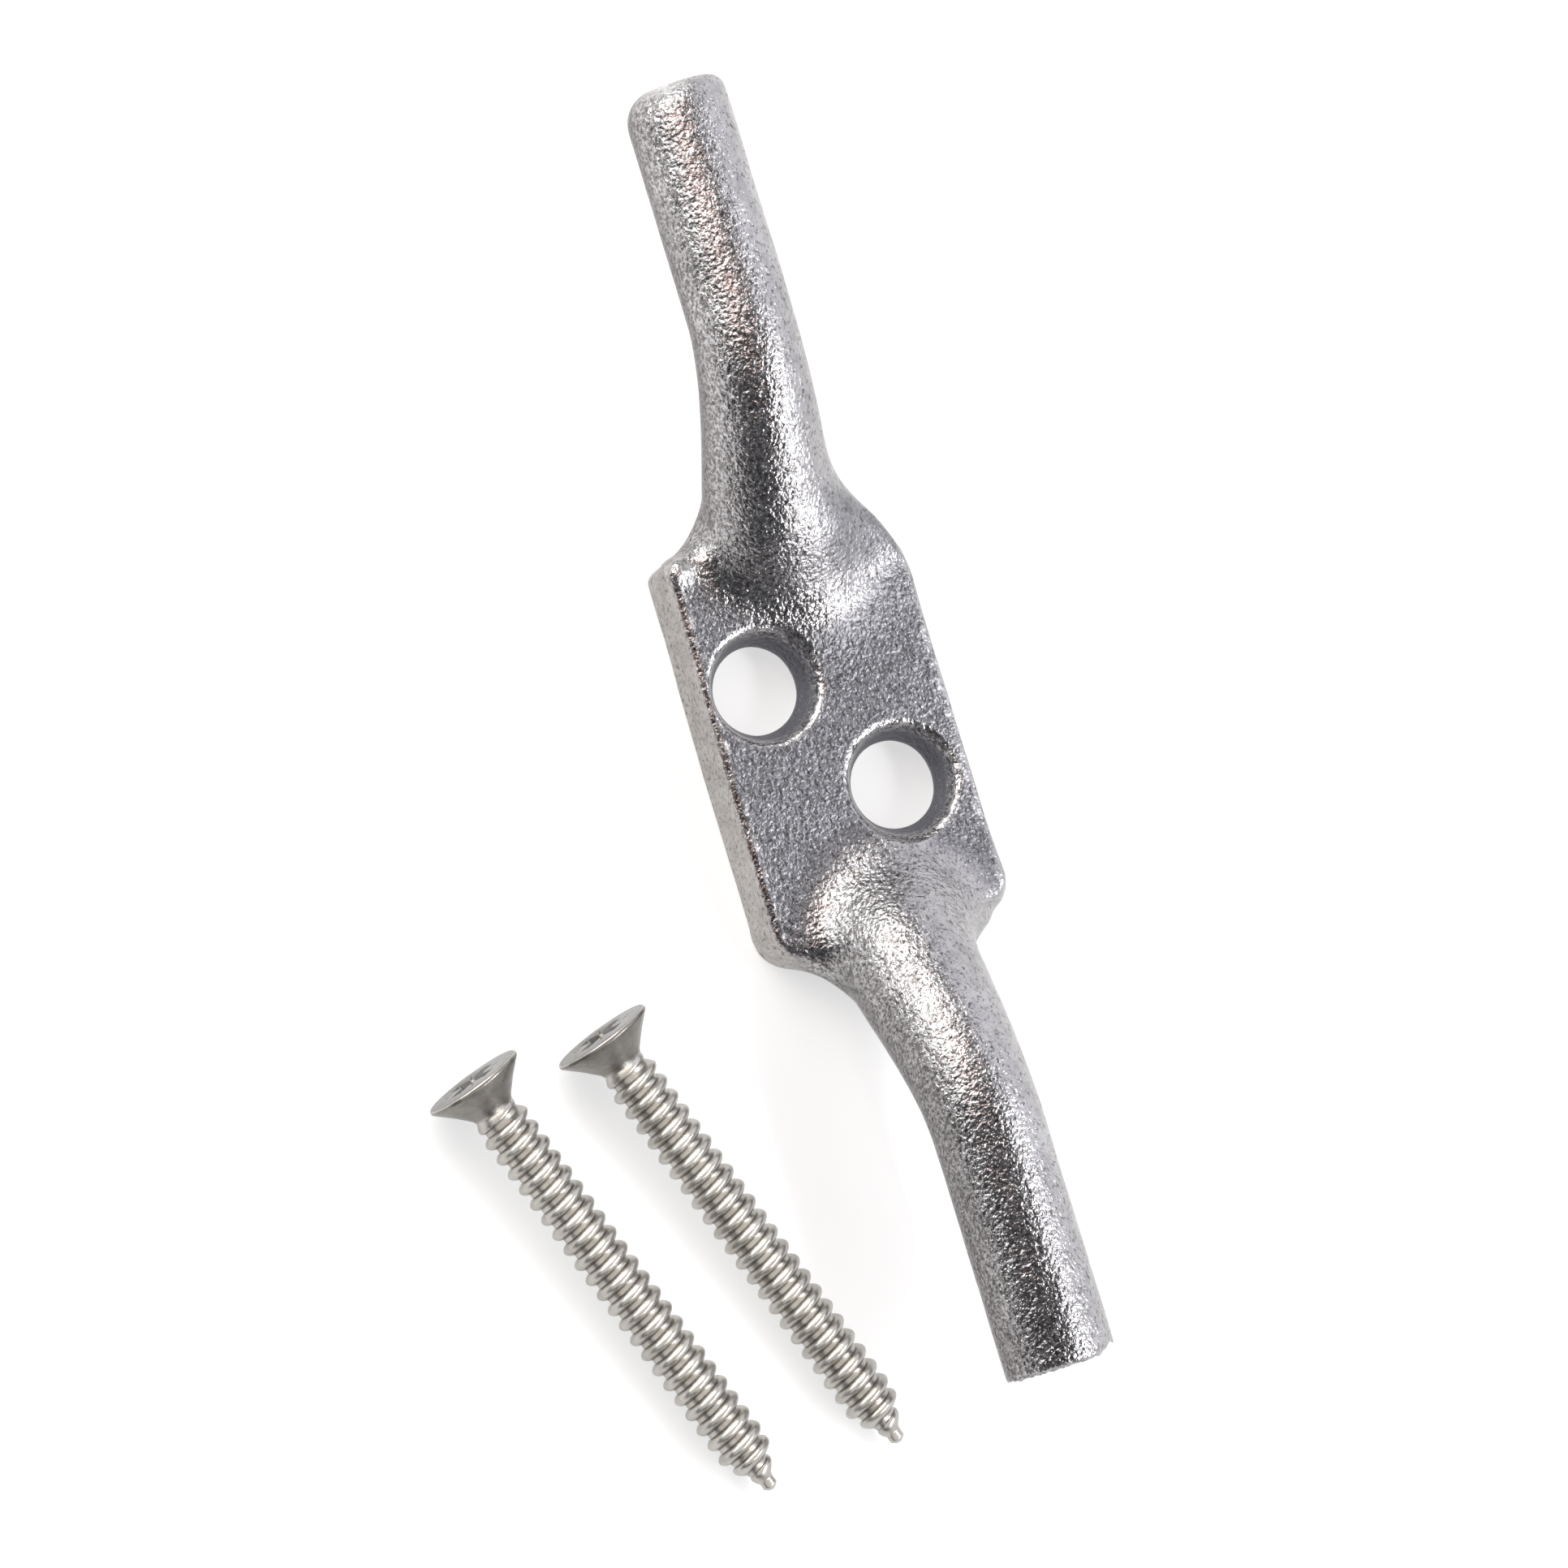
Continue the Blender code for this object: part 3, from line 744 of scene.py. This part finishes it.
def zinc_material():
    """Hot-dip galvanised iron: orange peel, dark pits, dull sandy face, dark lips, a warmer tone on the side
    walls; painted shade in the holes, on the low sides and over the web by the domed horn; painted speckled
    shade and glints on the sides facing -Y; painted highlights on the torn rims, the knob, the edges and the
    domed tip.
    """
    m = Nodes("galvanised_zinc")
    where = m.place()
    grain = m.noise(where, 3900.0, 2.0, 0.55)
    peel = m.noise(where, 2300.0, 1.0, 0.5)
    broad = m.noise(where, 140.0, 3.0, 0.55)
    mottle = m.noise(where, 900.0, 3.0, 0.6)
    sand = m.noise(where, 3600.0, 3.0, 0.7)
    pits = m.noise(where, 2900.0, 3.0, 0.75)
    side_speckle_noise = m.noise(where, 3300.0, 2.0, 0.65)

    colour = m.ramp(broad, (0.30, (0.41, 0.40, 0.405)), (0.70, (0.49, 0.482, 0.49)))
    clouds = m.ramp(mottle, (0.34, grey(0.78)), (0.60, grey(1.0)))
    specks = m.ramp(pits, (0.36, (0.26, 0.24, 0.24)), (0.46, grey(1.0)))
    side_speckle = m.ramp(side_speckle_noise, (0.41, (0.50, 0.485, 0.475)), (0.57, grey(1.20)))
    sandy_tone_and_web_shade = m.ramp(sand, (0.40, (0.38, 0.39, 0.405)), (0.62, (0.65, 0.66, 0.69)))
    colour = m.mix(1.0, colour, clouds, "MULTIPLY")
    colour = m.mix(0.85, colour, specks, "MULTIPLY")
    # painted speckled shade and glints where the surface faces -Y or upwards
    colour = m.tint(m.mark("painted_side_speckle"), colour, side_speckle)
    # the face's dull sandy tone, and painted shade over the web beside the domed horn
    colour = m.tint(m.mark("dull_face_and_web_shade"), colour, sandy_tone_and_web_shade)
    colour = m.tint(m.mark("wall"), colour, (0.96, 0.93, 0.88))
    # painted shade on the low sides and undersides
    colour = m.tint(m.mark("painted_skirt_shade"), colour, (0.42, 0.40, 0.40))
    colour = m.mix(m.mark("lip"), colour, (0.09, 0.055, 0.045))
    # painted shade: the walls of the holes darkened to a dark grey
    colour = m.mix(m.mark("hole"), colour, (0.17, 0.17, 0.19))
    # painted highlights: a paler metal colour on the torn rims, the knob, the edges and the domed tip
    colour = m.mix(m.mark("bright"), colour, (0.80, 0.79, 0.78))

    rough = m.ramp(grain, (0.35, grey(0.17)), (0.65, grey(0.27)))
    rough = m.mix(m.mark("dull_face_and_web_shade"), rough, grey(0.36))
    rough = m.mix(m.mark("hole"), rough, grey(0.50))
    rough = m.mix(m.mark("bright"), rough, grey(0.30))
    peeled = m.bump(peel, 0.00012)
    return m.metal(colour, rough, m.bump(grain, 0.00009, normal=peeled))


def steel_material():
    """Plain rolled stainless steel, with a painted shadow line, dark and warm, at the foot of the thread and
    painted shade in the recess.
    """
    m = Nodes("rolled_stainless")
    where = m.place()
    broad = m.noise(where, 260.0, 3.0, 0.5)
    fine = m.noise(where, 3400.0, 2.0, 0.6)
    dirt = m.noise(where, 1100.0, 3.0, 0.6)

    colour = m.ramp(broad, (0.30, (0.43, 0.416, 0.388)), (0.70, (0.505, 0.492, 0.46)))
    grime = m.ramp(dirt, (0.35, (0.82, 0.81, 0.79)), (0.60, grey(1.0)))
    colour = m.mix(1.0, colour, grime, "MULTIPLY")
    # painted shadow: a thin dark warm line at the foot of each thread
    colour = m.mix(m.mark("painted_thread_shadow"), colour, (0.20, 0.17, 0.145))
    colour = m.tint(m.mark("cone"), colour, (0.50, 0.495, 0.49))
    colour = m.tint(m.mark("face"), colour, (0.42, 0.43, 0.44))
    # painted shade: the cross recess darkened nearly to black
    colour = m.mix(m.mark("recess"), colour, (0.07, 0.07, 0.065))
    rough = m.ramp(fine, (0.30, grey(0.27)), (0.70, grey(0.36)))
    return m.metal(colour, rough, m.bump(fine, 0.00002, 0.6))


# ---------------------------------------------------------------- build
casting = make_casting()
casting.data.materials.clear()
casting.data.materials.append(zinc_material())
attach(casting, "cleat")
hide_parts("cleat_casting")

steel = steel_material()
screws = bpy.data.collections.new("screws")
bpy.context.scene.collection.children.link(screws)
for name, obj in make_screws():
    screws.objects.link(obj)
    obj.data.materials.clear()
    obj.data.materials.append(steel)
    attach(obj, name)
    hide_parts(name)


# ---------------------------------------------------------------- floor, camera, light; in metres and degrees
FLOOR_HALF = 6
TILT_TO_SOUTH = 20.5
TILT_TO_CUT_END = 3.0
CAMERA_ROLL = 17.0
CAMERA_DISTANCE = 1.0
FRAME_WIDTH = 0.1174
SENSOR = 36.0
AIM_HEIGHT = 0.0040
AIM_RIGHT = -0.0035
AIM_DOWN = 0.0037


def floor():
    mesh = bpy.data.meshes.new("floor")
    corners = [(a * FLOOR_HALF, b * FLOOR_HALF, 0) for a, b in ((-1, -1), (1, -1), (1, 1), (-1, 1))]
    mesh.from_pydata(corners, [], [(0, 1, 2, 3)])
    obj = add("floor", mesh)
    m = Nodes("pale_floor")
    m.shader.inputs["Base Color"].default_value = (0.45, 0.45, 0.45, 1.0)
    m.shader.inputs["Roughness"].default_value = 0.9
    m.shader.inputs["Specular IOR Level"].default_value = 0.1
    m.shader.inputs["Emission Color"].default_value = (1.0, 1.0, 1.0, 1.0)
    m.shader.inputs["Emission Strength"].default_value = 0.62
    mesh.materials.append(m.material)


def view_axes():
    """The way to the camera and the picture's right and down, in the row frame."""
    roll = math.radians(CAMERA_ROLL)
    back = Vector((math.sin(math.radians(TILT_TO_CUT_END)), -math.sin(math.radians(TILT_TO_SOUTH)), 0.0))
    back.z = math.sqrt(1.0 - back.length_squared)
    down = (Vector((1, 0, 0)) - back * back.x).normalized()
    right = (-down).cross(back)
    rolled_right = right * math.cos(roll) + down * math.sin(roll)
    rolled_down = down * math.cos(roll) - right * math.sin(roll)
    return back, rolled_right, rolled_down


def camera():
    back, right, down = view_axes()
    target = Vector((0, 0, AIM_HEIGHT)) + right * AIM_RIGHT + down * AIM_DOWN
    data = bpy.data.cameras.new("camera")
    data.sensor_width = SENSOR
    data.lens = SENSOR * CAMERA_DISTANCE / FRAME_WIDTH
    data.clip_start = 0.01
    data.clip_end = 50.0
    obj = add("camera", data)
    turn = Matrix((right, -down, back)).transposed()
    obj.matrix_world = Matrix.Translation(target + back * CAMERA_DISTANCE) @ turn.to_4x4()
    bpy.context.scene.camera = obj


def panel(name, near, far, ends, radiance, colour=(1, 1, 1), only=None):
    """A soft panel that shines down, from one YZ point to another and between two ends on X."""
    low, high = ends
    near, far = Vector((0, *near)), Vector((0, *far))
    data = bpy.data.lights.new(name, "AREA")
    data.shape = "RECTANGLE"
    data.size = high - low
    data.size_y = (far - near).length
    data.energy = radiance * math.pi * data.size * data.size_y
    data.color = colour
    obj = add(name, data)
    along = Vector((1, 0, 0))
    side = (far - near).normalized()
    turn = Matrix((along, side, along.cross(side))).transposed()
    middle = (near + far) / 2 + along * ((low + high) / 2)
    obj.matrix_world = Matrix.Translation(middle) @ turn.to_4x4()
    if only is not None:
        obj.light_linking.receiver_collection = only


def world():
    made = bpy.data.worlds.new("studio")
    made.use_nodes = True
    background = made.node_tree.nodes["Background"]
    background.inputs["Color"].default_value = (0.93, 0.94, 1.0, 1.0)
    background.inputs["Strength"].default_value = 0.16
    bpy.context.scene.world = made


floor()
camera()
world()
# broad light on the plate's -Y side, far and near, with a pink tinge over the domed horn
panel("key_far", near=(-1.20, 0.30), far=(-0.02, 0.30), ends=(-1.3, -0.22), radiance=3.8,
      colour=(1.0, 1.0, 0.98))
panel("key_near", near=(-0.40, 0.15), far=(-0.004, 0.15), ends=(-0.25, -0.042), radiance=1.85,
      colour=(0.98, 1.0, 0.97))
panel("warm", near=(-0.11, 0.145), far=(-0.030, 0.145), ends=(-0.090, -0.044), radiance=2.7,
      colour=(1.0, 0.46, 0.32))
# a narrow bright strip and a broad dim light on the +Y side
panel("strip", near=(0.165, 0.295), far=(0.230, 0.295), ends=(0.05, 0.60), radiance=17.0)
panel("right", near=(0.135, 0.30), far=(0.90, 0.05), ends=(-1.2, 1.2), radiance=1.22,
      colour=(0.95, 0.95, 1.0))
# an even light from above that only the screws receive
panel("screw_key", near=(-0.60, 0.30), far=(0.10, 0.30), ends=(-0.50, 0.60), radiance=0.95,
      colour=(1.0, 0.97, 0.92), only=screws)
bpy.context.scene.view_settings.view_transform = "Standard"
